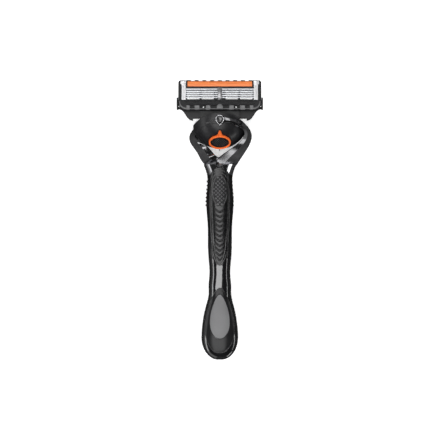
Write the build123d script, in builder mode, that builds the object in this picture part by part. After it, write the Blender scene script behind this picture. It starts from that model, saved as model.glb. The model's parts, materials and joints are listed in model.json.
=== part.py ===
from build123d import *
import math
import os

# Cartridge razor lying on its back. Millimetres. +Y runs from the tail to the head, +X is to the right
# when the blades are looked at, +Z points out of the blade face. Z = 0 is the surface it rests on.

# ---------------------------------------------------------------- driving dimensions
TAIL_Y = -70.0
HANDLE_TOP_Y = 23.0  # the casing ends here and the chromed yoke starts
NECK_END_Y = 28.2  # the yoke's neck divides into its two arms here
PART_Z = 6.6  # parting plane of the two casing halves
GRIP_DEPTH = 1.4  # thickness of the rubber panels
PANEL_DEPTH = 1.1
BADGE_DEPTH = 0.6
CAVITY_INSET = 2.9
SUPER = 2.6  # exponent of the handle's superellipse section

# y, half width, lowest z, highest z of the handle's cross section
STATIONS = [
    (-70.0, 1.6, 5.0, 7.0),
    (-69.0, 4.4, 3.2, 8.2),
    (-67.0, 6.6, 1.6, 9.0),
    (-63.5, 8.5, 0.5, 9.4),
    (-58.5, 9.25, 0.05, 9.6),
    (-52.0, 8.75, 0.05, 9.9),
    (-43.0, 7.0, 0.5, 10.4),
    (-33.0, 5.7, 1.2, 11.0),
    (-22.0, 5.4, 1.9, 11.7),
    (-10.0, 6.0, 2.2, 12.8),
    (3.0, 6.5, 2.0, 14.2),
    (15.0, 6.5, 1.7, 14.8),
    (23.0, 6.45, 1.6, 14.2),
    (26.5, 7.5, 1.6, 13.9),
    (30.5, 8.9, 1.9, 13.6),
]

PAD_Y, PAD_HALF_X, PAD_HALF_Y = 14.85, 3.95, 8.05
RIB_COUNT, RIB_PITCH, RIB_FIRST_Y = 7, 2.0, 7.7
RIB_WIDTH, RIB_PROUD = 1.0, 0.5
BADGE_Y, BADGE_HALF_X, BADGE_HALF_Y = -48.2, 5.1, 11.2
PANEL_Y, PANEL_HALF_X, PANEL_HALF_Y = -50.2, 7.4, 16.4

# The head swings about an upright axis through this point.
SWING_Y = 50.3
POD_RADIUS, POD_HALF_X, POD_MID_Z = 14.3, 13.3, 13.2
POD_WALL, CAP_WALL = 1.6, 2.7
POD_PROFILE = [
    (0.0, 23.2),
    (5.0, 22.9),
    (9.5, 20.9),
    (12.7, 17.6),
    (14.3, 13.2),
    (13.2, 8.4),
    (9.5, 4.8),
    (5.0, 3.3),
    (0.0, 3.0),
]
POD_TOP_RADIUS, POD_TOP_Y = 17.9, 53.6
MOUTH_Y, MOUTH_LOW_Z, MOUTH_HIGH_Z = 50.6, 10.6, 20.4
MOUTH_WALL = 1.4
PIN_R, PIN_CLEARANCE = 1.35, 0.05
EYE_R, EYE_LOW_Z, EYE_HIGH_Z = 2.3, 23.5, 25.8
REAR_EYE_R, REAR_EYE_HIGH_Z = 3.3, 2.6

# Docking nose, plunger and ejector
NOSE_HALF_X, NOSE_LOW_Z, NOSE_HIGH_Z, NOSE_END_Y = 6.0, 13.0, 19.1, 55.1
TONGUE_HALF_X, TONGUE_LOW_Z, TONGUE_HIGH_Z = 3.0, 16.8, 18.6
GAP = 0.12

# Release button, sliding on a flat facet of the pod's cap
BUTTON_TILT, CAP_TILT = 45.0, 40.0
BUTTON_Y, BUTTON_Z = 38.9, 17.7
BUTTON_HALF_X, BUTTON_HALF_T, BUTTON_MID_T = 5.5, 4.45, 0.83
BUTTON_RIM, BUTTON_TRAVEL = 0.85, 1.6
RING_THICK, PAD_THICK, POINTER_TIP_T = 0.9, 0.5, 8.7
CAP_Y, CAP_Z, CAP_HALF_X, CAP_HALF_T, CAP_TOP_Y = 41.8, 18.05, 11.0, 8.0, 48.5
STEM_HALF_X, STEM_THICK, STEM_DEPTH = 4.4, 1.2, 4.0

# Cartridge, on a plane tilted from the horizontal and centred on its pivot
PIVOT_Y, PIVOT_Z, FACE_TILT = 58.0, 23.0, 10.0
CART_HALF_X, CART_LOW_V, CART_HIGH_V = 20.6, -3.1, 11.55
CART_BACK_W, CART_FACE_W, RAIL_W = -2.5, 1.9, 2.6
WINDOW_HALF_X, WINDOW_LOW_V, WINDOW_HIGH_V, FLOOR_W = 18.8, 1.9, 7.95, -1.6
BLADE_COUNT, BLADE_PITCH, BLADE_FIRST_V = 5, 1.06, 2.4
BLADE_TOP_W, BLADE_TILT, BLADE_DEPTH, BLADE_THICK = 2.2, 21.5, 1.0, 0.1
BLADE_HALF_X, LEG_FOOT_W = 18.5, -1.2
CLIP_W, CLIP_THICK = 2.25, 0.25
STRIP_HALF_X, STRIP_LOW_V, STRIP_HIGH_V = 16.0, 8.35, 11.0
LUG_IN_X, LUG_OUT_X, LUG_R = 20.7, 21.4, 3.1
TRUNNION_R, TRUNNION_END_X = 1.1, 19.4
CAM_REACH, CAM_LEAD, CAM_R, CAM_HALF_X = 5.5, 20.0, 0.8, 2.0

tilt = math.radians(FACE_TILT)
CART = Plane(
    origin=(0, PIVOT_Y, PIVOT_Z), x_dir=(1, 0, 0), z_dir=(0, math.sin(tilt), math.cos(tilt))
)
# the cartridge's own side view: x runs up its face, y out of it
PROFILE = Plane(origin=CART.origin, x_dir=CART.y_dir, z_dir=(1, 0, 0))


def leaning(y, z, angle):
    """A plane through (0, y, z) that leans back from the handle by angle, in degrees."""
    lean = math.radians(angle)
    return Plane(origin=(0, y, z), x_dir=(1, 0, 0), z_dir=(0, -math.sin(lean), math.cos(lean)))


FACET = leaning(BUTTON_Y, BUTTON_Z, BUTTON_TILT)
CAP_PLANE = leaning(CAP_Y, CAP_Z, CAP_TILT)

# the cam's centre on the cartridge's side view
CAM_V = CAM_REACH * math.sin(math.radians(CAM_LEAD + FACE_TILT))
CAM_W = -CAM_REACH * math.cos(math.radians(CAM_LEAD + FACE_TILT))

finished = []


def finish(part, name, colour="black"):
    """Labels a finished piece and remembers it for export."""
    part.label = name
    part.color = Color(colour)
    finished.append(part)


def section_points(half_x, low_z, high_z, count=12):
    """Points on a superellipse, for one closed cross section of the handle."""
    middle, half_z = (low_z + high_z) / 2, (high_z - low_z) / 2
    points = []
    for step in range(count):
        angle = 2 * math.pi * step / count
        c, s = math.cos(angle), math.sin(angle)
        points.append(
            (
                half_x * math.copysign(abs(c) ** (2 / SUPER), c),
                middle + half_z * math.copysign(abs(s) ** (2 / SUPER), s),
            )
        )
    return points


def handle_form(inset):
    """The handle's outer form as one solid, moved inwards by inset."""
    with BuildPart() as form:
        for y, half_x, low_z, high_z in STATIONS:
            shrink = min(inset, half_x - 0.6, (high_z - low_z) / 2 - 0.4)
            with BuildSketch(Plane.XZ.offset(-y)):
                with BuildLine():
                    Spline(
                        *section_points(half_x - shrink, low_z + shrink, high_z - shrink),
                        periodic=True,
                    )
                make_face()
        loft()
    return form.part


def egg(half_x, low_y, high_y, top_share):
    """An egg outline: full width near its lower third, narrower towards the top."""
    wide_y = low_y + (high_y - low_y) * 0.36
    with BuildSketch() as sketch:
        with BuildLine():
            Spline(
                (0, low_y),
                (half_x * 0.78, low_y + (wide_y - low_y) * 0.36),
                (half_x, wide_y),
                (half_x * top_share, low_y + (high_y - low_y) * 0.8),
                (0, high_y),
                (-half_x * top_share, low_y + (high_y - low_y) * 0.8),
                (-half_x, wide_y),
                (-half_x * 0.78, low_y + (wide_y - low_y) * 0.36),
                periodic=True,
            )
        make_face()
    return sketch.sketch


# ---------------------------------------------------------------- handle
outer_form = handle_form(0)
grip_form = handle_form(GRIP_DEPTH)
panel_form = handle_form(PANEL_DEPTH)
badge_form = handle_form(BADGE_DEPTH)
cavity_form = handle_form(CAVITY_INSET)
rib_form = handle_form(-RIB_PROUD)

# Outline of the front rubber panel: full width at the top, drawn in to a rounded point at the bottom.
with BuildPart() as front_region:
    with BuildSketch(Plane.XY.offset(PART_Z)):
        with BuildLine():
            Polyline((-5.2, -9.0), (-9.0, 2.0), (-9.0, 23.0), (-4.9, 23.0))
            ThreePointArc((-4.9, 23.0), (0, 26.4), (4.9, 23.0))
            Polyline((4.9, 23.0), (9.0, 23.0), (9.0, 2.0), (5.2, -9.0))
            Spline((5.2, -9.0), (4.5, -14.5), (3.2, -19.8), (0, -22.6), (-3.2, -19.8), (-4.5, -14.5), (-5.2, -9.0))
        make_face()
    extrude(amount=12)

with BuildPart() as pad_region:
    with BuildSketch(Plane.XY.offset(PART_Z)):
        with Locations((0, PAD_Y)):
            Ellipse(PAD_HALF_X, PAD_HALF_Y)
    extrude(amount=12)

with BuildPart() as rear_region:
    with BuildSketch(Plane.XY.offset(-2)):
        with BuildLine():
            Polyline((-9.0, 0.0), (-9.0, HANDLE_TOP_Y), (9.0, HANDLE_TOP_Y), (9.0, 0.0))
            Spline((9.0, 0.0), (5.6, -7.0), (3.4, -13.0), (0, -16.0), (-3.4, -13.0), (-5.6, -7.0), (-9.0, 0.0))
        make_face()
    extrude(amount=PART_Z + 2)

with BuildPart() as panel_region:
    with BuildSketch(Plane.XY.offset(PART_Z)):
        add(egg(PANEL_HALF_X, PANEL_Y - PANEL_HALF_Y, PANEL_Y + PANEL_HALF_Y, 0.62))
    extrude(amount=8)

with BuildPart() as badge_region:
    with BuildSketch(Plane.XY.offset(PART_Z)):
        add(egg(BADGE_HALF_X, BADGE_Y - BADGE_HALF_Y, BADGE_Y + BADGE_HALF_Y, 0.62))
    extrude(amount=8)

with BuildPart() as casing_range:
    with BuildSketch(Plane.XY.offset(-2)):
        with Locations((0, (TAIL_Y - 2 + HANDLE_TOP_Y) / 2)):
            Rectangle(24, HANDLE_TOP_Y - TAIL_Y + 2)
    extrude(amount=20)

with BuildPart() as cavity_range:
    with BuildSketch(Plane.XY):
        with Locations((0, -9)):
            Rectangle(20, 64)
    extrude(amount=16)

front_skin = outer_form - grip_form
cavity = cavity_form & cavity_range.part

with BuildPart() as front_casing:
    add(outer_form & casing_range.part)
    split(bisect_by=Plane.XY.offset(PART_Z), keep=Keep.TOP)
    add(cavity, mode=Mode.SUBTRACT)
    add(front_skin & front_region.part, mode=Mode.SUBTRACT)
    add((outer_form - panel_form) & panel_region.part, mode=Mode.SUBTRACT)
finish(front_casing.part, "front_casing")

with BuildPart() as rear_casing:
    add(outer_form & casing_range.part)
    split(bisect_by=Plane.XY.offset(PART_Z), keep=Keep.BOTTOM)
    add(cavity, mode=Mode.SUBTRACT)
    add(front_skin & rear_region.part, mode=Mode.SUBTRACT)
finish(rear_casing.part, "rear_casing")

with BuildPart() as front_grip:
    add(front_skin & front_region.part)
    add(pad_region.part, mode=Mode.SUBTRACT)
finish(front_grip.part, "front_grip")

with BuildPart() as thumb_pad:
    add(front_skin & pad_region.part)
finish(thumb_pad.part, "thumb_pad")

with BuildPart() as rear_grip:
    add(outer_form & rear_region.part)
    with BuildPart(mode=Mode.PRIVATE) as rib_bands:
        for index in range(RIB_COUNT):
            with BuildSketch(Plane.XZ.offset(-(RIB_FIRST_Y + RIB_PITCH * index + RIB_WIDTH / 2))):
                with Locations((0, PART_Z / 2 - 1)):
                    Rectangle(20, PART_Z + 2)
            extrude(amount=RIB_WIDTH)
    add(rib_form & rib_bands.part)
    add(grip_form, mode=Mode.SUBTRACT)
finish(rear_grip.part, "rear_grip")

with BuildPart() as tail_panel:
    add((outer_form - panel_form) & panel_region.part)
    add((outer_form - badge_form) & badge_region.part, mode=Mode.SUBTRACT)
finish(tail_panel.part, "tail_panel")

with BuildPart() as tail_badge:
    add((outer_form - badge_form) & badge_region.part)
finish(tail_badge.part, "tail_badge", "gray")

# A steel bar in the hollow of the handle gives it its weight.
WEIGHT_SIZE = (3.2, 32.0, 2.6)
with BuildPart() as balance_weight:
    with Locations((0, -13, 6.8)):
        Box(*WEIGHT_SIZE)
    fillet(balance_weight.edges().filter_by(Axis.Y), 0.6)
finish(balance_weight.part, "balance_weight", "gray")

# ---------------------------------------------------------------- yoke
# Each station of an arm is an upright section: its edge nearest the ball and its outer edge (x, y),
# then its lowest and highest z.
FRONT_ARM = [
    ((-4.0, 26.0), (6.0, 24.6), 2.6, 12.9),
    ((0.6, 32.6), (9.1, 28.9), 3.6, 13.8),
    ((5.3, 35.9), (11.8, 33.0), 6.0, 14.8),
    ((9.4, 39.0), (14.5, 37.2), 8.6, 16.6),
    ((11.8, 41.9), (16.0, 41.6), 11.8, 19.4),
    ((12.0, 44.2), (15.3, 44.9), 15.4, 21.8),
    ((10.2, 46.0), (12.9, 47.9), 18.8, 23.7),
    ((7.2, 47.5), (8.3, 50.4), 21.8, 25.0),
    ((2.0, 48.2), (2.0, 51.9), 23.5, 25.6),
]
REAR_ARM = [
    ((2.6, 28.6), (-7.9, 26.6), 2.2, 13.2),
    ((-1.7, 32.4), (-8.5, 29.2), 2.3, 12.4),
    ((-4.3, 35.2), (-11.0, 33.4), 1.8, 11.2),
    ((-7.2, 38.3), (-13.7, 37.4), 1.4, 10.4),
    ((-10.0, 41.4), (-15.4, 41.2), 1.1, 9.4),
    ((-10.8, 43.8), (-14.7, 44.3), 0.9, 7.4),
    ((-9.0, 45.6), (-11.6, 47.9), 0.7, 5.2),
    ((-6.0, 47.1), (-6.8, 50.6), 0.5, 3.4),
    ((-1.8, 48.3), (-1.8, 52.1), 0.4, 2.4),
]
# the section's corners, as shares of its width (from the ball outwards) and of its height
ARM_SECTION = [(0.0, 0.14), (0.0, 0.9), (0.06, 1.0), (0.44, 1.0), (0.96, 0.6), (1.0, 0.42), (0.82, 0.0), (0.1, 0.0)]


def arm(stations):
    """A faceted arm of the yoke, lofted round the ball through its stations."""
    with BuildPart() as body:
        for inner, outer, low_z, high_z in stations:
            across = Vector(outer[0] - inner[0], outer[1] - inner[1], 0)
            width, height = across.length, high_z - low_z
            section = Plane(
                origin=(inner[0], inner[1], low_z), x_dir=across, z_dir=across.cross(Vector(0, 0, 1))
            )
            with BuildSketch(section):
                with BuildLine():
                    Polyline(
                        *[(u * width, -v * height if section.y_dir.Z < 0 else v * height) for u, v in ARM_SECTION],
                        close=True,
                    )
                make_face()
        loft()
    return body.part


with BuildPart() as neck_range:
    with Locations((0, (HANDLE_TOP_Y + NECK_END_Y) / 2, 7)):
        Box(24, NECK_END_Y - HANDLE_TOP_Y, 20)

with BuildPart() as yoke:
    add(outer_form & neck_range.part)
    add(arm(FRONT_ARM))
    add(arm(REAR_ARM))
    with Locations((0, 50, -5)):
        Box(60, 40, 10, mode=Mode.SUBTRACT)
    with Locations((0, HANDLE_TOP_Y - 20, 8)):
        Box(60, 40, 30, mode=Mode.SUBTRACT)
    # front eye: a ring drawn to a point towards the handle
    with BuildSketch(Plane.XY.offset(EYE_LOW_Z)):
        with BuildLine():
            CenterArc((0, SWING_Y), EYE_R, -25, 230)
            Polyline(
                (EYE_R * math.cos(math.radians(205)), SWING_Y + EYE_R * math.sin(math.radians(205))),
                (0, SWING_Y - 3.8),
                (EYE_R * math.cos(math.radians(-25)), SWING_Y + EYE_R * math.sin(math.radians(-25))),
            )
        make_face()
    extrude(amount=EYE_HIGH_Z - EYE_LOW_Z)
    # rear eye: a flat round foot that the head rests on
    with BuildSketch(Plane.XY):
        with Locations((0, SWING_Y)):
            Circle(REAR_EYE_R)
    extrude(amount=REAR_EYE_HIGH_Z)
    # tang that reaches down into the casing
    with Locations((0, HANDLE_TOP_Y - 5.5, 8.0)):
        Box(4.4, 11.0, 4.4)
    with Locations((0, SWING_Y, 24.0)):
        Cylinder(PIN_R, 8, mode=Mode.SUBTRACT)
    with Locations((0, SWING_Y, 2.2)):
        Cylinder(PIN_R, 3.4, mode=Mode.SUBTRACT)
    with Locations(Location((0, 15.0, 8.0), (0, 90, 0))):
        Cylinder(0.8, 12, mode=Mode.SUBTRACT)
    add(front_skin & front_region.part, mode=Mode.SUBTRACT)
    # everything inside the ball's own space stays clear of the arms
    with BuildPart(mode=Mode.PRIVATE) as ball_space:
        with BuildSketch(Plane.XZ.offset(-SWING_Y)):
            with BuildLine():
                Spline(*[(r * 1.02, POD_MID_Z + (z - POD_MID_Z) * 1.025) for r, z in POD_PROFILE])
                Line(
                    (0, POD_MID_Z + (POD_PROFILE[-1][1] - POD_MID_Z) * 1.025),
                    (0, POD_MID_Z + (POD_PROFILE[0][1] - POD_MID_Z) * 1.025),
                )
            make_face()
        revolve(axis=Axis((0, SWING_Y, 0), (0, 0, 1)), revolution_arc=360)
    add(ball_space.part, mode=Mode.SUBTRACT)
finish(yoke.part, "yoke", "silver")

with BuildPart() as tang_pin:
    with Locations(Location((0, 15.0, 8.0), (0, 90, 0))):
        Cylinder(0.8, 4.4)
finish(tang_pin.part, "tang_pin", "silver")

with BuildPart() as front_pin:
    with Locations((0, SWING_Y, (MOUTH_HIGH_Z + 0.2 + EYE_HIGH_Z) / 2)):
        Cylinder(PIN_R, EYE_HIGH_Z - MOUTH_HIGH_Z - 0.2)
    chamfer(front_pin.edges().group_by(Axis.Z)[-1], 0.25)
finish(front_pin.part, "front_pin")

with BuildPart() as rear_pin:
    with Locations((0, SWING_Y, (0.5 + 8.5) / 2)):
        Cylinder(PIN_R, 8.0)
    chamfer(rear_pin.edges().group_by(Axis.Z)[-1], 0.3)
finish(rear_pin.part, "rear_pin")

# ---------------------------------------------------------------- pod


def ball(inset):
    """The pod's lens-like body of revolution about the swing axis, moved inwards by inset."""
    share_r = (POD_RADIUS - inset) / POD_RADIUS
    share_z = (10.1 - inset) / 10.1
    outline = [(r * share_r, POD_MID_Z + (z - POD_MID_Z) * share_z) for r, z in POD_PROFILE]
    with BuildPart() as body:
        with BuildSketch(Plane.XZ.offset(-SWING_Y)):
            with BuildLine():
                Spline(*outline)
                Line(outline[-1], outline[0])
            make_face()
        revolve(axis=Axis((0, SWING_Y, 0), (0, 0, 1)), revolution_arc=360)
    return body.part


def pod_outline(inset):
    """Upright prism with the pod's outline seen from the front."""
    with BuildPart() as body:
        with BuildSketch():
            with Locations((0, POD_TOP_Y - POD_TOP_RADIUS)):
                Circle(POD_TOP_RADIUS - inset)
            with Locations((0, POD_TOP_Y - POD_TOP_RADIUS)):
                Rectangle(2 * (POD_HALF_X - inset), 2 * POD_TOP_RADIUS, mode=Mode.INTERSECT)
        extrude(amount=30)
    return body.part


with BuildPart() as pod_cavity:
    add(ball(POD_WALL) & pod_outline(POD_WALL))
    with Locations((0, MOUTH_Y - MOUTH_WALL + 10, 13)):
        Box(40, 20, 40, mode=Mode.SUBTRACT)

with BuildPart() as mouth:
    with Locations((0, MOUTH_Y + 10, (MOUTH_LOW_Z + MOUTH_HIGH_Z) / 2)):
        Box(40, 20, MOUTH_HIGH_Z - MOUTH_LOW_Z)
    # window for the nose and two for the ejector's prongs
    with Locations((0, MOUTH_Y - 1, (NOSE_LOW_Z + NOSE_HIGH_Z) / 2)):
        Box(2 * NOSE_HALF_X, 3, NOSE_HIGH_Z - NOSE_LOW_Z)
    with Locations((-8.4, MOUTH_Y - 1, 12.2), (8.4, MOUTH_Y - 1, 12.2)):
        Box(1.9, 3, 1.9)

with BuildPart() as cap_region:
    with BuildSketch(CAP_PLANE.offset(-3.6)):
        Ellipse(CAP_HALF_X, CAP_HALF_T)
    extrude(amount=12)
    with Locations((0, CAP_TOP_Y + 5, 20)):
        Box(30, 10, 40, mode=Mode.SUBTRACT)

with BuildPart() as button_travel:
    with BuildSketch(FACET):
        with Locations((0, BUTTON_MID_T), (0, BUTTON_MID_T + BUTTON_TRAVEL)):
            Ellipse(BUTTON_HALF_X + GAP, BUTTON_HALF_T + GAP)
        with Locations((0, POINTER_TIP_T + BUTTON_TRAVEL - 2)):
            Rectangle(3.6, 6.2)
    extrude(amount=8)

with BuildPart() as pod_front_shell:
    add(ball(0) & pod_outline(0))
    split(bisect_by=Plane.XY.offset(POD_MID_Z), keep=Keep.TOP)
    add(pod_cavity.part, mode=Mode.SUBTRACT)
    add(mouth.part, mode=Mode.SUBTRACT)
    add(cap_region.part, mode=Mode.SUBTRACT)
    add(button_travel.part, mode=Mode.SUBTRACT)
    with Locations((0, SWING_Y, 20)):
        Cylinder(PIN_R + PIN_CLEARANCE, 12, mode=Mode.SUBTRACT)
    # short slot beside the eye
    with BuildSketch(Plane.XY.offset(22.0)):
        with BuildLine():
            Polyline((-7.0, 48.0), (-2.6, 49.0), (-2.6, 49.8), (-7.0, 48.8), close=True)
        make_face()
    extrude(amount=4, mode=Mode.SUBTRACT)
finish(pod_front_shell.part, "pod_front_shell")

with BuildPart() as pod_rear_shell:
    add(ball(0) & pod_outline(0))
    split(bisect_by=Plane.XY.offset(POD_MID_Z), keep=Keep.BOTTOM)
    add(pod_cavity.part, mode=Mode.SUBTRACT)
    add(mouth.part, mode=Mode.SUBTRACT)
    with Locations((0, SWING_Y, 5.0)):
        Cylinder(PIN_R + PIN_CLEARANCE, 7.6, mode=Mode.SUBTRACT)
finish(pod_rear_shell.part, "pod_rear_shell")

with BuildPart() as pod_cap:
    add((ball(0) - ball(CAP_WALL)) & cap_region.part)
    split(bisect_by=Plane.XY.offset(POD_MID_Z), keep=Keep.TOP)
    add(button_travel.part, mode=Mode.SUBTRACT)
    # slot for the button's stem
    with BuildSketch(FACET.offset(-5)):
        with Locations((0, BUTTON_TRAVEL / 2)):
            Rectangle(2 * STEM_HALF_X + 0.3, STEM_THICK + BUTTON_TRAVEL + 0.3)
    extrude(amount=7, mode=Mode.SUBTRACT)
finish(pod_cap.part, "pod_cap")

# ---------------------------------------------------------------- docking nose, plunger and springs
CAGE_BACK_Y, CAGE_WALL = 44.3, 0.8
TONGUE_MID_Z = (TONGUE_LOW_Z + TONGUE_HIGH_Z) / 2
WALL_IN_Y = MOUTH_Y - MOUTH_WALL
with BuildPart() as docking_nose:
    with Locations((0, (WALL_IN_Y + NOSE_END_Y) / 2, (NOSE_LOW_Z + NOSE_HIGH_Z) / 2)):
        Box(2 * NOSE_HALF_X - 0.1, NOSE_END_Y - WALL_IN_Y, NOSE_HIGH_Z - NOSE_LOW_Z - 0.1)
    fillet(docking_nose.edges().filter_by(Axis.Y), 0.5)
    # flange that stops against the inside of the mouth's wall
    with Locations((0, WALL_IN_Y - 0.5, 15.9)):
        Box(13.6, 1.0, 5.6)
    # side rails and the seat of the plunger's spring
    for side in (-1, 1):
        with Locations((side * 3.6, (CAGE_BACK_Y + WALL_IN_Y) / 2, TONGUE_MID_Z)):
            Box(0.8, WALL_IN_Y - CAGE_BACK_Y, 2.4)
    with Locations((0, CAGE_BACK_Y + CAGE_WALL / 2, TONGUE_MID_Z)):
        Box(8.0, CAGE_WALL, 2.4)
    with Locations((0, CAGE_BACK_Y + CAGE_WALL + 6, TONGUE_MID_Z)):
        Box(2 * (TONGUE_HALF_X + GAP), 12, TONGUE_HIGH_Z - TONGUE_LOW_Z + 2 * GAP, mode=Mode.SUBTRACT)
finish(docking_nose.part, "docking_nose")

# the tip just touches the cam, which stands CAM_REACH from the pivot
PLUNGER_TIP_Y = PIVOT_Y + CAM_REACH * math.sin(math.radians(CAM_LEAD)) - CAM_R - 0.02
PLUNGER_END_Y = 50.6
with BuildPart() as plunger:
    with Locations((0, (PLUNGER_END_Y + PLUNGER_TIP_Y) / 2, TONGUE_MID_Z)):
        Box(2 * TONGUE_HALF_X, PLUNGER_TIP_Y - PLUNGER_END_Y, TONGUE_HIGH_Z - TONGUE_LOW_Z)
    fillet(plunger.edges().filter_by(Axis.Y), 0.4)
finish(plunger.part, "plunger")


def coil_spring(start, radius, wire, pitch, length):
    """A helical compression spring along +Y from its start point."""
    with BuildPart() as spring:
        with BuildLine() as helix:
            Helix(pitch, length, radius, center=start, direction=(0, 1, 0))
        first = helix.edges()[0]
        with BuildSketch(Plane(origin=first @ 0, z_dir=first % 0)):
            Circle(wire)
        sweep(is_frenet=True)
    return spring.part


plunger_spring = coil_spring((0, CAGE_BACK_Y + CAGE_WALL + 0.25, TONGUE_MID_Z), 0.8, 0.15, 1.25, 5.0)
finish(plunger_spring, "plunger_spring", "silver")

EJECTOR_Z, PRONG_X, PRONG_TIP_Y = 12.2, 8.4, 50.9
with BuildPart() as ejector:
    with Locations((0, 44.0, EJECTOR_Z)):
        Box(2 * PRONG_X + 1.6, 1.6, 1.5)
    for side in (-1, 1):
        with Locations((side * PRONG_X, (43.2 + PRONG_TIP_Y) / 2, EJECTOR_Z)):
            Box(1.6, PRONG_TIP_Y - 43.2, 1.5)
        # tab that the button's stem pushes
        with Locations((side * 4.4, 42.9, 13.9)):
            Box(0.6, 1.2, 4.6)
finish(ejector.part, "ejector")

ejector_spring = coil_spring((0, 45.0, 11.95), 0.75, 0.14, 0.8, 4.0)
finish(ejector_spring, "ejector_spring", "silver")

# ---------------------------------------------------------------- release button
with BuildPart() as button_ring:
    with BuildSketch(FACET.offset(0.1)):
        with Locations((0, BUTTON_MID_T)):
            Ellipse(BUTTON_HALF_X, BUTTON_HALF_T)
        with BuildLine():
            Polyline(
                (-2.5, BUTTON_MID_T + BUTTON_HALF_T - 0.75),
                (-1.25, BUTTON_MID_T + BUTTON_HALF_T + 0.45),
                (-0.75, BUTTON_MID_T + BUTTON_HALF_T + 1.9),
                (-0.35, POINTER_TIP_T - 0.25),
                (0, POINTER_TIP_T),
                (0.35, POINTER_TIP_T - 0.25),
                (0.75, BUTTON_MID_T + BUTTON_HALF_T + 1.9),
                (1.25, BUTTON_MID_T + BUTTON_HALF_T + 0.45),
                (2.5, BUTTON_MID_T + BUTTON_HALF_T - 0.75),
                close=True,
            )
        make_face()
        with Locations((0, BUTTON_MID_T)):
            Ellipse(BUTTON_HALF_X - BUTTON_RIM, BUTTON_HALF_T - BUTTON_RIM, mode=Mode.SUBTRACT)
    extrude(amount=RING_THICK)
finish(button_ring.part, "button_ring", "orange")

with BuildPart() as button_pad:
    with BuildSketch(FACET.offset(0.1)):
        with Locations((0, BUTTON_MID_T)):
            Ellipse(BUTTON_HALF_X - BUTTON_RIM, BUTTON_HALF_T - BUTTON_RIM)
    extrude(amount=PAD_THICK)
    with BuildSketch(FACET.offset(0.1)):
        Rectangle(2 * STEM_HALF_X, STEM_THICK)
    extrude(amount=-STEM_DEPTH - 0.1)
finish(button_pad.part, "button_pad")

# ---------------------------------------------------------------- connector
WING_Z, WING_HALF_Z = 14.3, 2.1
with BuildPart() as connector:
    # socket round the nose
    with Locations((0, 54.0, (11.4 + 19.8) / 2)):
        Box(2 * 9.8, 5.4, 19.8 - 11.4)
    # wings, swept back along the pod's shoulders
    with BuildSketch(Plane.XY.offset(WING_Z - WING_HALF_Z)):
        with BuildLine():
            Polyline((-13.4, 51.0), (13.4, 51.0), (13.4, 50.0))
            Spline((13.4, 50.0), (16.3, 51.6), (18.1, 54.3), (LUG_OUT_X, 55.7))
            Polyline((LUG_OUT_X, 55.7), (LUG_OUT_X, 56.8), (-LUG_OUT_X, 56.8), (-LUG_OUT_X, 55.7))
            Spline((-LUG_OUT_X, 55.7), (-18.1, 54.3), (-16.3, 51.6), (-13.4, 50.0))
            Line((-13.4, 50.0), (-13.4, 51.0))
        make_face()
    extrude(amount=2 * WING_HALF_Z)
    # side plates that carry the trunnions
    for side in (-1, 1):
        start_x = LUG_IN_X if side > 0 else -LUG_OUT_X
        with BuildSketch(Plane.YZ.offset(start_x)):
            with BuildLine():
                Polyline((55.7, 12.2), (56.8, 12.2), (60.8, 21.6), (55.2, 22.2), close=True)
            make_face()
            with Locations((PIVOT_Y, PIVOT_Z)):
                Circle(LUG_R)
        extrude(amount=LUG_OUT_X - LUG_IN_X)
        with Locations(
            Location((side * (TRUNNION_END_X + LUG_OUT_X) / 2, PIVOT_Y, PIVOT_Z), (0, 90, 0))
        ):
            Cylinder(TRUNNION_R, LUG_OUT_X - TRUNNION_END_X)
    # the nose's socket, open at both ends
    with Locations((0, 54.0, (NOSE_LOW_Z + NOSE_HIGH_Z) / 2)):
        Box(2 * NOSE_HALF_X + 0.2, 8, NOSE_HIGH_Z - NOSE_LOW_Z + 0.2, mode=Mode.SUBTRACT)
    # room for the cam above the socket and for the ejector's prongs behind it
    with Locations((0, 56.5, 19.5)):
        Box(6.4, 6.0, 5.0, mode=Mode.SUBTRACT)
    with Locations((-8.4, 51.6, 12.2), (8.4, 51.6, 12.2)):
        Box(2.1, 2.6, 2.1, mode=Mode.SUBTRACT)
finish(connector.part, "connector")

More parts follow.
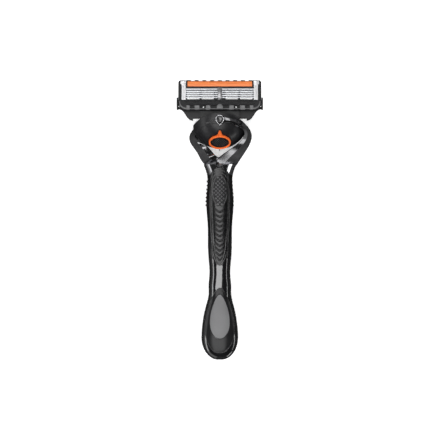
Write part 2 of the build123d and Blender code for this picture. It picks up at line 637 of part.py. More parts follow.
# ---------------------------------------------------------------- cartridge
with BuildPart() as cartridge_housing:
    with BuildSketch(CART.offset(CART_BACK_W)) as outline:
        with Locations((0, (CART_LOW_V + CART_HIGH_V) / 2)):
            Rectangle(2 * CART_HALF_X, CART_HIGH_V - CART_LOW_V)
        corners = outline.vertices().sort_by(Axis.Y)
        fillet(corners[:2], 4.0)
        fillet(outline.vertices().sort_by(Axis.Y)[-2:], 1.3)
    extrude(amount=CART_FACE_W - CART_BACK_W)
    # raised side rails
    for side in (-1, 1):
        with BuildSketch(CART.offset(CART_FACE_W)):
            with Locations((side * 20.05, 5.6)):
                Rectangle(1.1, 9.6)
        extrude(amount=RAIL_W - CART_FACE_W)
        # seats of the clips
        with BuildSketch(CART.offset(CART_FACE_W)):
            with Locations((side * 18.1, 9.75)):
                Rectangle(2.7, 3.6)
            with Locations((side * 17.9, 1.7)):
                Rectangle(2.0, 0.4)
        extrude(amount=CLIP_W - CART_FACE_W)
    # blade well and the rinse slots through its floor
    with BuildSketch(CART.offset(FLOOR_W)):
        with Locations((0, (WINDOW_LOW_V + WINDOW_HIGH_V) / 2)):
            Rectangle(2 * WINDOW_HALF_X, WINDOW_HIGH_V - WINDOW_LOW_V)
    extrude(amount=10, mode=Mode.SUBTRACT)
    with BuildSketch(CART.offset(CART_BACK_W - 1)):
        with Locations(*[(x, (WINDOW_LOW_V + WINDOW_HIGH_V) / 2) for x in (-13.2, -6.0, 6.0, 13.2)]):
            Rectangle(6.0, WINDOW_HIGH_V - WINDOW_LOW_V - 0.8)
    extrude(amount=3, mode=Mode.SUBTRACT)
    # trough for the strip, trough for the guard, recess for the comb
    with BuildSketch(CART.offset(0.6)):
        with Locations((0, (STRIP_LOW_V + STRIP_HIGH_V) / 2)):
            Rectangle(2 * STRIP_HALF_X, STRIP_HIGH_V - STRIP_LOW_V)
        with Locations((0, 0.25)):
            Rectangle(35.0, 2.5)
        with Locations((0, -1.95)):
            Rectangle(31.0, 1.5)
    extrude(amount=4, mode=Mode.SUBTRACT)
    # notches along the top edge
    with BuildSketch(CART.offset(CART_BACK_W - 1)):
        with Locations(*[(3.82 * (index - 3.5), CART_HIGH_V) for index in range(8)]):
            Rectangle(1.8, 0.7)
    extrude(amount=8, mode=Mode.SUBTRACT)
    # cam rib that the plunger presses on
    with BuildSketch(PROFILE.offset(-CAM_HALF_X)):
        with Locations((CAM_V, CAM_W)):
            Circle(CAM_R)
        with BuildLine():
            Polyline(
                (CAM_V - CAM_R, CAM_W),
                (1.5, CART_BACK_W + 0.6),
                (4.2, CART_BACK_W + 0.6),
                (CAM_V + CAM_R, CAM_W),
                close=True,
            )
        make_face()
    extrude(amount=2 * CAM_HALF_X)
    # trunnion bores
    for side in (-1, 1):
        with Locations(
            Location((side * CART_HALF_X, PIVOT_Y, PIVOT_Z), (0, 90, 0))
        ):
            Cylinder(TRUNNION_R + 0.04, 2.6, mode=Mode.SUBTRACT)
finish(cartridge_housing.part, "cartridge_housing")

with BuildPart() as lubrication_strip:
    with BuildSketch(PROFILE.offset(-STRIP_HALF_X)):
        with BuildLine():
            Polyline(
                (STRIP_LOW_V, 0.6),
                (STRIP_LOW_V, 2.3),
                (STRIP_LOW_V + 1.2, 2.7),
                (STRIP_HIGH_V - 0.5, 2.6),
                (STRIP_HIGH_V, 2.15),
                (STRIP_HIGH_V, 0.6),
                close=True,
            )
        make_face()
    extrude(amount=2 * STRIP_HALF_X)
finish(lubrication_strip.part, "lubrication_strip", "orange")

with BuildPart() as guard_strip:
    with BuildSketch(CART.offset(0.6)):
        with Locations((0, 0.25)):
            Rectangle(35.0, 2.5)
    extrude(amount=1.5)
    with BuildSketch(CART.offset(2.1)):
        with Locations((0, -0.5), (0, 0.3), (0, 1.1)):
            Rectangle(35.0, 0.4)
    extrude(amount=0.35)
finish(guard_strip.part, "guard_strip")

with BuildPart() as comb_bar:
    with BuildSketch(CART.offset(0.6)):
        with Locations((0, -1.95)):
            Rectangle(31.0, 1.5)
    extrude(amount=1.7)
    with BuildSketch(CART.offset(1.2)):
        with Locations(*[(x, -1.95) for x in (-13.2, -8.0, -3.9, 3.9, 8.0, 13.2)]):
            Rectangle(2.6, 0.7)
    extrude(amount=2, mode=Mode.SUBTRACT)
finish(comb_bar.part, "comb_bar", "gray")

for side, name in ((-1, "clip_left"), (1, "clip_right")):
    with BuildPart() as clip:
        with BuildSketch(CART.offset(CLIP_W)):
            with Locations((side * 17.9, 5.6)):
                Rectangle(2.0, 8.2)
            with Locations((side * 18.1, 10.6)):
                Rectangle(2.7, 2.38)
        extrude(amount=CLIP_THICK)
        with BuildSketch(CART.offset(-0.6)):
            with Locations((side * 18.1, CART_HIGH_V + 0.12)):
                Rectangle(2.7, 0.24)
        extrude(amount=CLIP_W + CLIP_THICK + 0.6)
    finish(clip.part, name, "silver")

slope = math.radians(BLADE_TILT)
along = Vector(math.cos(slope), -math.sin(slope))  # from the cutting edge back into the well
below = Vector(-math.sin(slope), -math.cos(slope))
for index in range(BLADE_COUNT):
    edge = Vector(BLADE_FIRST_V + BLADE_PITCH * index, BLADE_TOP_W)
    back = edge + along * BLADE_DEPTH
    under = back + below * BLADE_THICK
    with BuildPart() as blade:
        with BuildSketch(PROFILE.offset(-BLADE_HALF_X)):
            with BuildLine():
                Polyline(edge, back, under, edge + along * 0.22 + below * BLADE_THICK, close=True)
            make_face()
        extrude(amount=2 * BLADE_HALF_X)
    finish(blade.part, f"blade_{index + 1}", "silver")

    # bent carrier: a lip under the blade and a leg that reaches down the well
    lip = edge + along * 0.45 + below * BLADE_THICK
    with BuildPart() as support:
        with BuildSketch(PROFILE.offset(-BLADE_HALF_X)):
            with BuildLine():
                Polyline(
                    lip,
                    under,
                    (under.X, LEG_FOOT_W),
                    (under.X - 0.14, LEG_FOOT_W),
                    (under.X - 0.14, under.Y - 0.1),
                    lip + below * 0.12,
                    close=True,
                )
            make_face()
        extrude(amount=2 * BLADE_HALF_X)
    finish(support.part, f"blade_support_{index + 1}", "silver")

with BuildPart() as trimmer_holder:
    with BuildSketch(CART.offset(CART_BACK_W)):
        with Locations((0, 10.0)):
            Rectangle(30.0, 2.4)
    extrude(amount=-0.9)
finish(trimmer_holder.part, "trimmer_holder")

with BuildPart() as trimmer_blade:
    with BuildSketch(CART.offset(CART_BACK_W - 0.9)):
        with Locations((0, 10.5)):
            Rectangle(27.0, 2.2)
    extrude(amount=-0.15)
finish(trimmer_blade.part, "trimmer_blade", "silver")

os.makedirs("parts", exist_ok=True)
for piece in finished:
    export_step(piece, f"parts/{piece.label}.step")
print(len(finished), "pieces written")
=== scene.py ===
"""Cartridge razor: looks, camera and light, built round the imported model.

Everything is in metres in the model's own frame. +Y runs from the tail to the head, +X is to the
right when the blades are looked at, and +Z points out of the blade face. The razor lies on its back.
"""

import json
import logging
import math
from contextlib import contextmanager
from dataclasses import dataclass, field
from enum import Enum
from typing import Callable, Iterator, Sequence, Union

import bmesh
import bpy
from mathutils import Matrix, Vector
from mathutils.bvhtree import BVHTree


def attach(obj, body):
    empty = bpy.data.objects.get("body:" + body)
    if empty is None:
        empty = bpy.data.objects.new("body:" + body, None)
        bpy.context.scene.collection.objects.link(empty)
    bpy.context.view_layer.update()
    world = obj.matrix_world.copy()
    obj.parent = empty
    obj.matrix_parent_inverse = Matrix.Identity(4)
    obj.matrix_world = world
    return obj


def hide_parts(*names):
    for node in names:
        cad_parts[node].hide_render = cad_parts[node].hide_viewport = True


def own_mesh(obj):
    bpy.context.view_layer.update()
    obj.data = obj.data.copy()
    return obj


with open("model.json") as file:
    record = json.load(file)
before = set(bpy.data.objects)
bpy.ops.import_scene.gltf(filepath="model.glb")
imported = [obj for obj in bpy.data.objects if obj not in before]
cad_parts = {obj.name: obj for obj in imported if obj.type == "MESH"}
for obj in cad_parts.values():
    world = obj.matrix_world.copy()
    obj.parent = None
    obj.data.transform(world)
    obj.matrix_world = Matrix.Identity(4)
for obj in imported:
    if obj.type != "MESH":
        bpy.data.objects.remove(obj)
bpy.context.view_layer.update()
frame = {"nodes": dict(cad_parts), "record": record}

MM = 0.001
PER_METRE = 1000.0
STEEP = 0.9
BEAD_SIDES = 8
ROUNDING_STEPS = 2
SHARP = math.radians(40)
LOG = logging.getLogger("razor")

Point = tuple[float, float, float]
Colour = tuple[float, float, float]


# ------------------------------------------------------------------------------ shader expressions
class Signal:
    """A node's output socket, so that shader maths reads as an ordinary expression."""

    def __init__(self, graph: "Graph", socket: bpy.types.NodeSocket) -> None:
        """Wraps a socket of one of the graph's nodes."""
        self.graph = graph
        self.socket = socket

    def _math(self, operation: str, first: "Feed", second: "Feed" = None) -> "Signal":
        """Adds one Math node.

        Args:
            operation: The Math node's operation.
            first: Its first value.
            second: Its second value, when the operation takes two.

        Returns:
            The node's result.
        """
        inputs: dict[Union[str, int], Feed] = {0: first}
        if second is not None:
            inputs[1] = second
        return self.graph.node("ShaderNodeMath", {"operation": operation}, inputs)

    def __add__(self, other: "Feed") -> "Signal":
        """self + other."""
        return self._math("ADD", self, other)

    __radd__ = __add__

    def __sub__(self, other: "Feed") -> "Signal":
        """self - other."""
        return self._math("SUBTRACT", self, other)

    def __rsub__(self, other: "Feed") -> "Signal":
        """other - self."""
        return self._math("SUBTRACT", other, self)

    def __mul__(self, other: "Feed") -> "Signal":
        """self * other."""
        return self._math("MULTIPLY", self, other)

    __rmul__ = __mul__

    def step(self, low: float, high: float) -> "Signal":
        """A smooth rise from 0 at low to 1 at high."""
        return self.graph.node(
            "ShaderNodeMapRange",
            {"interpolation_type": "SMOOTHSTEP"},
            {"Value": self, "From Min": low, "From Max": high},
        )


Feed = Union[Signal, float, int, Sequence[float], None]


class Graph:
    """The node tree of one material, with its Principled shader."""

    def __init__(self, name: str) -> None:
        """Makes an empty material that ends in a Principled shader."""
        self.material = bpy.data.materials.new(name)
        self.material.use_nodes = True
        self.tree = self.material.node_tree
        self.tree.nodes.clear()
        self.surface = self.tree.nodes.new("ShaderNodeBsdfPrincipled")
        output = self.tree.nodes.new("ShaderNodeOutputMaterial")
        self.tree.links.new(self.surface.outputs["BSDF"], output.inputs["Surface"])

    def node(
        self,
        kind: str,
        settings: dict[str, object] | None = None,
        inputs: dict[Union[str, int], Feed] | None = None,
        output: Union[str, int] = 0,
    ) -> Signal:
        """Adds a node.

        Args:
            kind: The node's type.
            settings: Its properties, which are set first.
            inputs: Values or links of its sockets, by name or number.
            output: The socket that is returned.

        Returns:
            The chosen output.
        """
        made = self.tree.nodes.new(kind)
        for key, value in (settings or {}).items():
            setattr(made, key, value)
        for key, value in (inputs or {}).items():
            self.feed(made.inputs[key], value)
        return Signal(self, made.outputs[output])

    def feed(self, socket: bpy.types.NodeSocket, value: Feed) -> None:
        """Links a signal to a socket, or sets the socket's own value."""
        if isinstance(value, Signal):
            self.tree.links.new(value.socket, socket)
        elif isinstance(value, (tuple, list)) and socket.type == "RGBA" and len(value) == 3:
            socket.default_value = (*value, 1.0)
        else:
            socket.default_value = value

    def principled(self, **sockets: Feed) -> None:
        """Sets or links the shader's sockets; an underscore in a name stands for a space."""
        for name, value in sockets.items():
            self.feed(self.surface.inputs[name.replace("_", " ")], value)

    def place(self) -> Signal:
        """The point on the piece, in metres, as a vector."""
        return self.node("ShaderNodeTexCoord", output="Object")

    def stretched(self, scale: Point) -> Signal:
        """The point on the piece in millimetres, with each axis multiplied by its own factor."""
        factors = tuple(PER_METRE * part for part in scale)
        return self.node(
            "ShaderNodeVectorMath", {"operation": "MULTIPLY"}, {0: self.place(), 1: factors}
        )

    def noise(self, scale: Point, detail: float = 3.0, rough: float = 0.55) -> Signal:
        """Fractal noise from 0 to 1; scale is in turns per millimetre along each axis."""
        return self.node(
            "ShaderNodeTexNoise",
            {},
            {"Vector": self.stretched(scale), "Scale": 1.0, "Detail": detail, "Roughness": rough},
        )

    def blend(self, share: Feed, first: Feed, second: Feed) -> Signal:
        """Mixes two colours."""
        return self.node("ShaderNodeMix", {"data_type": "RGBA"}, {0: share, 6: first, 7: second}, 2)

    def bump(self, height: Feed, depth_mm: float, strength: float = 1.0, base: Feed = None) -> Signal:
        """Turns a height from 0 to 1 into a normal.

        Args:
            height: The height.
            depth_mm: What a height of 1 stands for.
            strength: How much of the bump is used.
            base: Another bump under this one.

        Returns:
            The normal.
        """
        inputs: dict[Union[str, int], Feed] = {
            "Height": height,
            "Distance": depth_mm * MM,
            "Strength": strength,
        }
        if base is not None:
            inputs["Normal"] = base
        return self.node("ShaderNodeBump", {}, inputs)


# ------------------------------------------------------------------------------ finishes
@dataclass(frozen=True)
class GlossPlastic:
    """Polished moulded plastic with a faint orange peel and handling marks."""

    name: str
    colour: Colour
    roughness: float = 0.10
    coat: float = 0.6
    specular: float = 0.5

    def build(self) -> bpy.types.Material:
        """Makes the material."""
        graph = Graph(self.name)
        cloud = graph.noise((0.18, 0.09, 0.18), 4.0)
        swirl = graph.noise((1.6, 0.35, 1.6), 2.0)
        lighter = tuple(min(1.0, part * 1.5 + 0.004) for part in self.colour)
        graph.principled(
            Base_Color=graph.blend(cloud, self.colour, lighter),
            Roughness=self.roughness + 0.05 * cloud,
            Specular_IOR_Level=self.specular,
            Coat_Weight=self.coat,
            Coat_Roughness=0.04,
            Normal=graph.bump(swirl, 0.010, 0.35),
        )
        return graph.material


@dataclass(frozen=True)
class SatinPlastic:
    """Spark-eroded plastic: a fine even grain and a soft sheen."""

    name: str
    colour: Colour
    roughness: float = 0.42
    grain_mm: float = 0.012
    specular: float = 0.22

    def build(self) -> bpy.types.Material:
        """Makes the material."""
        graph = Graph(self.name)
        cloud = graph.noise((0.12, 0.12, 0.12), 3.0)
        grain = graph.noise((7.0, 7.0, 7.0), 2.0, 0.7)
        lighter = tuple(min(1.0, part * 1.35 + 0.003) for part in self.colour)
        graph.principled(
            Base_Color=graph.blend(cloud, self.colour, lighter),
            Roughness=self.roughness + 0.10 * (grain - 0.5),
            Specular_IOR_Level=self.specular,
            Normal=graph.bump(grain, self.grain_mm, 0.8),
        )
        return graph.material


@dataclass(frozen=True)
class Rubber:
    """Soft-touch rubber: matt, very slightly mottled, greyer where it is rubbed."""

    name: str
    colour: Colour
    worn: Colour
    roughness: float = 0.52
    specular: float = 0.32

    def build(self) -> bpy.types.Material:
        """Makes the material."""
        graph = Graph(self.name)
        mottle = graph.noise((0.35, 0.2, 0.35), 5.0, 0.6)
        grain = graph.noise((9.0, 9.0, 9.0), 2.0, 0.7)
        graph.principled(
            Base_Color=graph.blend(mottle.step(0.42, 0.80), self.colour, self.worn),
            Roughness=self.roughness + 0.12 * (mottle - 0.5),
            Specular_IOR_Level=self.specular,
            Normal=graph.bump(grain, 0.007, 0.6),
        )
        return graph.material


@dataclass(frozen=True)
class Chrome:
    """Bright plating with faint polishing lines and a trace of smear."""

    name: str
    colour: Colour = (0.47, 0.47, 0.485)
    roughness: float = 0.12
    swell_mm: float = 0.8

    def build(self) -> bpy.types.Material:
        """Makes the material."""
        graph = Graph(self.name)
        smear = graph.noise((0.15, 0.15, 0.15), 3.0)
        lines = graph.noise((5.0, 0.5, 5.0), 2.0)
        swell = graph.bump(graph.noise((0.06, 0.06, 0.06), 0.0), self.swell_mm)
        graph.principled(
            Base_Color=graph.blend(smear, self.colour, tuple(part * 0.86 for part in self.colour)),
            Metallic=1.0,
            Roughness=self.roughness + 0.07 * smear.step(0.45, 0.75),
            Normal=graph.bump(lines, 0.003, 0.25, swell),
        )
        return graph.material


@dataclass(frozen=True)
class Steel:
    """Ground or drawn metal with fine lines along X."""

    name: str
    colour: Colour
    roughness: float = 0.28
    lines: Point = (0.06, 22.0, 22.0)
    depth_mm: float = 0.006
    shade: float = 0.72

    def build(self) -> bpy.types.Material:
        """Makes the material."""
        graph = Graph(self.name)
        drawn = graph.noise(self.lines, 3.0)
        darker = tuple(part * self.shade for part in self.colour)
        graph.principled(
            Base_Color=graph.blend(drawn, darker, self.colour),
            Metallic=1.0,
            Roughness=self.roughness + 0.16 * (drawn - 0.5),
            Normal=graph.bump(drawn, self.depth_mm, 0.5),
        )
        return graph.material


@dataclass(frozen=True)
class WaxyStrip:
    """The lubricating strip: pressed polymer, soft and slightly streaked along its length."""

    name: str
    colour: Colour = (0.70, 0.165, 0.036)
    pale: Colour = (0.82, 0.235, 0.060)

    def build(self) -> bpy.types.Material:
        """Makes the material."""
        graph = Graph(self.name)
        streak = graph.noise((0.10, 2.2, 2.2), 4.0, 0.6)
        pits = graph.noise((2.5, 4.0, 4.0), 2.0, 0.8)
        graph.principled(
            Base_Color=graph.blend(streak.step(0.35, 0.7), self.colour, self.pale),
            Roughness=0.46 + 0.14 * (pits - 0.5),
            Specular_IOR_Level=0.22,
            Normal=graph.bump(streak * 0.6 + pits * 0.4, 0.03, 0.6),
        )
        return graph.material


FINISHES: dict[str, object] = {
    "casing_gloss": GlossPlastic("black_gloss_casing", (0.0035, 0.0035, 0.004), 0.09, 0.7),
    "grip_rubber": Rubber("black_grip_rubber", (0.0030, 0.0030, 0.0034), (0.007, 0.007, 0.0075), 0.25),
    "pad_rubber": Rubber("grey_pad_rubber", (0.055, 0.055, 0.057), (0.110, 0.110, 0.112), 0.30, 0.5),
    "panel_gloss": GlossPlastic("black_tail_panel", (0.006, 0.006, 0.0065), 0.20, 0.0, 0.16),
    "badge_plastic": SatinPlastic("grey_tail_inlay", (0.125, 0.125, 0.128), 0.42),
    "pin_steel": Steel("pin_steel", (0.52, 0.52, 0.54), 0.26),
    "weight_steel": Steel("weight_steel", (0.34, 0.34, 0.35), 0.42),
    "yoke_chrome": Chrome("yoke_chrome"),
    "pivot_black": GlossPlastic("black_pivot", (0.004, 0.004, 0.005), 0.2, 0.2),
    "pod_plastic": SatinPlastic("black_pod_plastic", (0.009, 0.009, 0.010), 0.34),
    "cap_plastic": SatinPlastic("black_cap_plastic", (0.007, 0.007, 0.008), 0.32),
    "mechanism_plastic": SatinPlastic("black_mechanism_plastic", (0.014, 0.014, 0.015), 0.45),
    "spring_steel": Steel("spring_steel", (0.58, 0.58, 0.60), 0.2),
    "button_orange": SatinPlastic("orange_button_plastic", (0.70, 0.125, 0.020), 0.34, 0.006),
    "button_rubber": Rubber("black_button_rubber", (0.003, 0.003, 0.004), (0.006, 0.006, 0.006), 0.5),
    "connector_plastic": SatinPlastic("black_connector_plastic", (0.004, 0.004, 0.0045), 0.42),
    "housing_plastic": SatinPlastic("dark_housing_plastic", (0.009, 0.009, 0.010), 0.36),
    "guard_rubber": Rubber("black_guard_rubber", (0.005, 0.005, 0.006), (0.010, 0.010, 0.011), 0.42),
    "comb_plastic": SatinPlastic("grey_comb_plastic", (0.115, 0.115, 0.118), 0.40),
    "strip_orange": WaxyStrip("orange_lubricating_strip"),
    "clip_aluminium": Steel("clip_aluminium", (0.66, 0.66, 0.67), 0.36, (3.0, 0.25, 3.0), 0.002, 0.88),
    "blade_steel": Steel("ground_blade_steel", (0.46, 0.47, 0.49), 0.30, (0.05, 3.0, 3.0), 0.001, 0.90),
    "carrier_steel": Steel("carrier_steel", (0.46, 0.47, 0.50), 0.40, (0.05, 3.0, 3.0), 0.002, 0.85),
}


class Wardrobe:
    """Builds each finish once and hands it out by its record slot."""

    def __init__(self) -> None:
        """Starts empty."""
        self._made: dict[str, bpy.types.Material] = {}

    def material(self, slot: str) -> bpy.types.Material:
        """The material of a record slot."""
        if slot not in self._made:
            self._made[slot] = FINISHES[slot].build()
        return self._made[slot]

    def dress(self, piece: bpy.types.Object, slot: str) -> None:
        """Gives a piece its finish in place of whatever it had."""
        piece.data.materials.clear()
        piece.data.materials.append(self.material(slot))

    def dress_nodes(self) -> None:
        """Gives every CAD node the finish of its own slot, but the thumb pad the black button rubber,
        whose darkness is painted shade in the gaps between its grey studs.
        """
        for entry in frame["record"]["subparts"]:
            self.dress(frame["nodes"][entry["node"]], entry["material_slot"])
        # The thumb pad is grey pad rubber like its studs; the black rubber here is painted shade between
        # the studs.
        self.dress(frame["nodes"]["thumb_pad"], "button_rubber")
        LOG.info("dressed %d CAD nodes", len(frame["nodes"]))


# ------------------------------------------------------------------------------ modelling moves
def choose(piece: bpy.types.Object) -> None:
    """Selects one piece alone and makes it the active one."""
    bpy.ops.object.select_all(action="DESELECT")
    piece.select_set(True)
    bpy.context.view_layer.objects.active = piece


@contextmanager
def at_work(piece: bpy.types.Object) -> Iterator[None]:
    """Opens a piece in edit mode with nothing selected, and closes it again."""
    choose(piece)
    bpy.ops.object.mode_set(mode="EDIT")
    bpy.ops.mesh.select_mode(type="FACE")
    bpy.ops.mesh.select_all(action="DESELECT")
    yield
    bpy.ops.object.mode_set(mode="OBJECT")


def pick_faces(piece: bpy.types.Object, test: Callable[[Vector], bool]) -> None:
    """Selects the faces of a piece in edit mode whose direction passes a test, and nothing else."""
    bpy.ops.mesh.select_mode(type="FACE")
    bpy.ops.mesh.select_all(action="DESELECT")
    mesh = bmesh.from_edit_mesh(piece.data)
    mesh.normal_update()
    for face in mesh.faces:
        if test(face.normal):
            face.select_set(True)
    mesh.select_flush_mode()
    bmesh.update_edit_mesh(piece.data)


def is_top(way: Vector) -> bool:
    """Whether a direction points up, out of a piece's top."""
    return way.z > STEEP


def is_low_end(way: Vector) -> bool:
    """Whether a direction points towards the tail."""
    return way.y < -STEEP


def smooth_path(points: Sequence[Point], steps: int, closed: bool) -> list[Point]:
    """Draws a rounded line through points.

    Args:
        points: The points it goes through, in metres.
        steps: How many pieces each span is cut into.
        closed: Whether the line comes back to its first point.

    Returns:
        The points along the line.
    """
    count = len(points)
    spans = count if closed else count - 1
    line: list[Point] = []
    for span in range(spans):
        corners = []
        for offset in (-1, 0, 1, 2):
            index = span + offset
            index = index % count if closed else min(max(index, 0), count - 1)
            corners.append(Vector(points[index]))
        before, start, end, after = corners
        for step in range(steps):
            t = step / steps
            spot = 0.5 * (
                2 * start
                + (end - before) * t
                + (2 * before - 5 * start + 4 * end - after) * t * t
                + (3 * start - before - 3 * end + after) * t**3
            )
            line.append(tuple(spot))
    if not closed:
        line.append(tuple(points[-1]))
    return line


def oval(middle: Point, half_x: float, half_y: float, count: int) -> list[Point]:
    """Points round an oval that lies level."""
    turns = [2 * math.pi * index / count for index in range(count)]
    return [
        (middle[0] + half_x * math.cos(turn), middle[1] + half_y * math.sin(turn), middle[2])
        for turn in turns
    ]


def bead(
    name: str,
    path: Sequence[Point],
    radius: float,
    closed: bool = False,
    taper: Callable[[float], float] | None = None,
) -> bpy.types.Object:
    """Extrudes a round section along a level path.

    Args:
        name: The piece's name.
        path: The points along its middle, in metres.
        radius: The section's radius.
        closed: Whether its two ends are bridged.
        taper: Gives the section's share of the radius for each share of the path.

    Returns:
        The piece.
    """
    count = len(path)
    headings = []
    for index in range(count):
        back, front = index - 1, index + 1
        if closed:
            back, front = back % count, front % count
        else:
            back, front = max(back, 0), min(front, count - 1)
        way = Vector(path[front]) - Vector(path[back])
        headings.append(math.atan2(way.y, way.x))
    shares = [taper(index / (count - 1)) if taper else 1.0 for index in range(count)]
    bpy.ops.object.select_all(action="DESELECT")
    bpy.ops.mesh.primitive_circle_add(
        vertices=BEAD_SIDES,
        radius=radius * shares[0],
        fill_type="NOTHING" if closed else "NGON",
        location=path[0],
        rotation=(0.0, math.pi / 2, headings[0]),
    )
    piece = settled(name)
    with at_work(piece):
        bpy.ops.mesh.select_mode(type="VERT")
        bpy.ops.mesh.select_all(action="SELECT")
        for index in range(1, count):
            move = Vector(path[index]) - Vector(path[index - 1])
            bpy.ops.mesh.extrude_region_move(TRANSFORM_OT_translate={"value": tuple(move)})
            turn = headings[index] - headings[index - 1]
            turn = (turn + math.pi) % (2 * math.pi) - math.pi
            bpy.ops.transform.rotate(value=-turn, orient_axis="Z", center_override=path[index])
            if taper:
                grow = shares[index] / shares[index - 1]
                bpy.ops.transform.resize(value=(grow, grow, grow), center_override=path[index])
        if closed:
            bpy.ops.mesh.select_mode(type="EDGE")
            bpy.ops.mesh.select_all(action="DESELECT")
            bpy.ops.mesh.select_non_manifold()
            bpy.ops.mesh.bridge_edge_loops()
        bpy.ops.mesh.select_all(action="SELECT")
        bpy.ops.mesh.normals_make_consistent(inside=False)
    return piece


def settled(name: str) -> bpy.types.Object:
    """Names the piece that was just added and puts its place into its mesh."""
    piece = bpy.context.active_object
    piece.name = name
    bpy.ops.object.transform_apply(location=True, rotation=True, scale=True)
    return piece


def block(name: str, at: Point, size: Point) -> bpy.types.Object:
    """Adds a plain box at its place, in metres."""
    bpy.ops.object.select_all(action="DESELECT")
    bpy.ops.mesh.primitive_cube_add(size=1.0, location=at, scale=size)
    return settled(name)


def cylinder(
    name: str, at: Point, radius: float, depth: float, sides: int, turn: Point = (0.0, 0.0, 0.0)
) -> bpy.types.Object:
    """Adds a plain cylinder at its place.

    Args:
        name: The piece's name.
        at: Its middle, in millimetres.
        radius: Its radius in millimetres.
        depth: Its length in millimetres.
        sides: How many sides it has.
        turn: Its turn about the three axes.

    Returns:
        The piece.
    """
    bpy.ops.object.select_all(action="DESELECT")
    bpy.ops.mesh.primitive_cylinder_add(
        vertices=sides, radius=radius * MM, depth=depth * MM,
        location=tuple(part * MM for part in at), rotation=turn,
    )
    return settled(name)


def rounded(piece: bpy.types.Object, width: float) -> None:
    """Rounds a piece's sharp edges."""
    bevel = piece.modifiers.new("rounding", "BEVEL")
    bevel.width = width
    bevel.segments = ROUNDING_STEPS
    bevel.limit_method = "ANGLE"
    bevel.angle_limit = SHARP
    choose(piece)
    bpy.ops.object.modifier_apply(modifier=bevel.name)


def copied(piece: bpy.types.Object, name: str, shift: Point) -> bpy.types.Object:
    """A copy with its own mesh, moved by shift."""
    twin = piece.copy()
    twin.data = piece.data.copy()
    twin.name = name
    twin.data.transform(Matrix.Translation(shift))
    bpy.context.scene.collection.objects.link(twin)
    return twin


def joined(name: str, pieces: Sequence[bpy.types.Object]) -> bpy.types.Object:
    """Joins pieces into one object."""
    bpy.ops.object.select_all(action="DESELECT")
    for piece in pieces:
        piece.select_set(True)
    bpy.context.view_layer.objects.active = pieces[0]
    if len(pieces) > 1:
        bpy.ops.object.join()
    whole = bpy.context.active_object
    whole.name = name
    return whole


def lattice(
    name: str,
    pattern: bpy.types.Object,
    pitch: float,
    reach: tuple[int, int],
    half: tuple[float, float],
    place: Callable[[float, float], Point],
) -> bpy.types.Object:
    """Copies a pattern to every second spot of a grid inside an oval, and removes the pattern.

    Args:
        name: The name of the joined copies.
        pattern: The piece that is copied.
        pitch: The grid's pitch in millimetres.
        reach: How many columns and rows there are on each side of the middle.
        half: The oval's half width and half height in millimetres.
        place: Gives the place in metres of a spot in millimetres.

    Returns:
        The copies, as one piece.
    """
    copies = []
    for row in range(-reach[1], reach[1] + 1):
        for column in range(-reach[0], reach[0] + 1):
            x, y = column * pitch, row * pitch
            if (row + column) % 2 == 0 and (x / half[0]) ** 2 + (y / half[1]) ** 2 < 1:
                copies.append(copied(pattern, f"{name}_{row}_{column}", place(x, y)))
    bpy.data.objects.remove(pattern)
    return joined(name, copies)


class Ground:
    """The front of some CAD nodes, felt from above."""

    def __init__(self, *nodes: str) -> None:
        """Takes the nodes that are felt."""
        self.trees = []
        for name in nodes:
            mesh = frame["nodes"][name].data
            corners = [point.co for point in mesh.vertices]
            faces = [tuple(face.vertices) for face in mesh.polygons]
            self.trees.append(BVHTree.FromPolygons(corners, faces))

    def height(self, x: float, y: float, fallback: float = 0.0) -> float:
        """The highest Z over a spot, or the fallback where nothing is."""
        hits = [tree.ray_cast(Vector((x, y, 0.2)), Vector((0, 0, -1)))[0] for tree in self.trees]
        heights = [hit.z for hit in hits if hit is not None]
        return max(heights) if heights else fallback

    def drape(self, piece: bpy.types.Object, sink: float = 0.0) -> None:
        """Lowers or lifts each point of a piece made at Z = 0, so that it lies on the front.

        Args:
            piece: The piece.
            sink: How far it sinks in.
        """
        last = self.height(piece.data.vertices[0].co.x, piece.data.vertices[0].co.y)
        for point in piece.data.vertices:
            last = self.height(point.co.x, point.co.y, last)
            point.co.z += last - sink


class Outfitter:
    """Finishes new pieces: smoothing, finish, body and slot."""

    def __init__(self, wardrobe: "Wardrobe") -> None:
        """Takes the wardrobe that the finishes come from."""
        self.wardrobe = wardrobe

    def fit(self, piece: bpy.types.Object, body: str, slot: str, smooth: float = 40.0) -> None:
        """Dresses a piece and hangs it on its body.

        Args:
            piece: The piece, with its place in its mesh.
            body: The CAD body it rides on.
            slot: The record slot of its finish.
            smooth: The angle in degrees under which its edges are shaded smooth.
        """
        choose(piece)
        bpy.ops.object.transform_apply(location=True, rotation=True, scale=True)
        bpy.ops.object.shade_smooth_by_angle(angle=math.radians(smooth))
        self.wardrobe.dress(piece, slot)
        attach(piece, body)
        LOG.info("%s: %d faces on %s", piece.name, len(piece.data.polygons), body)


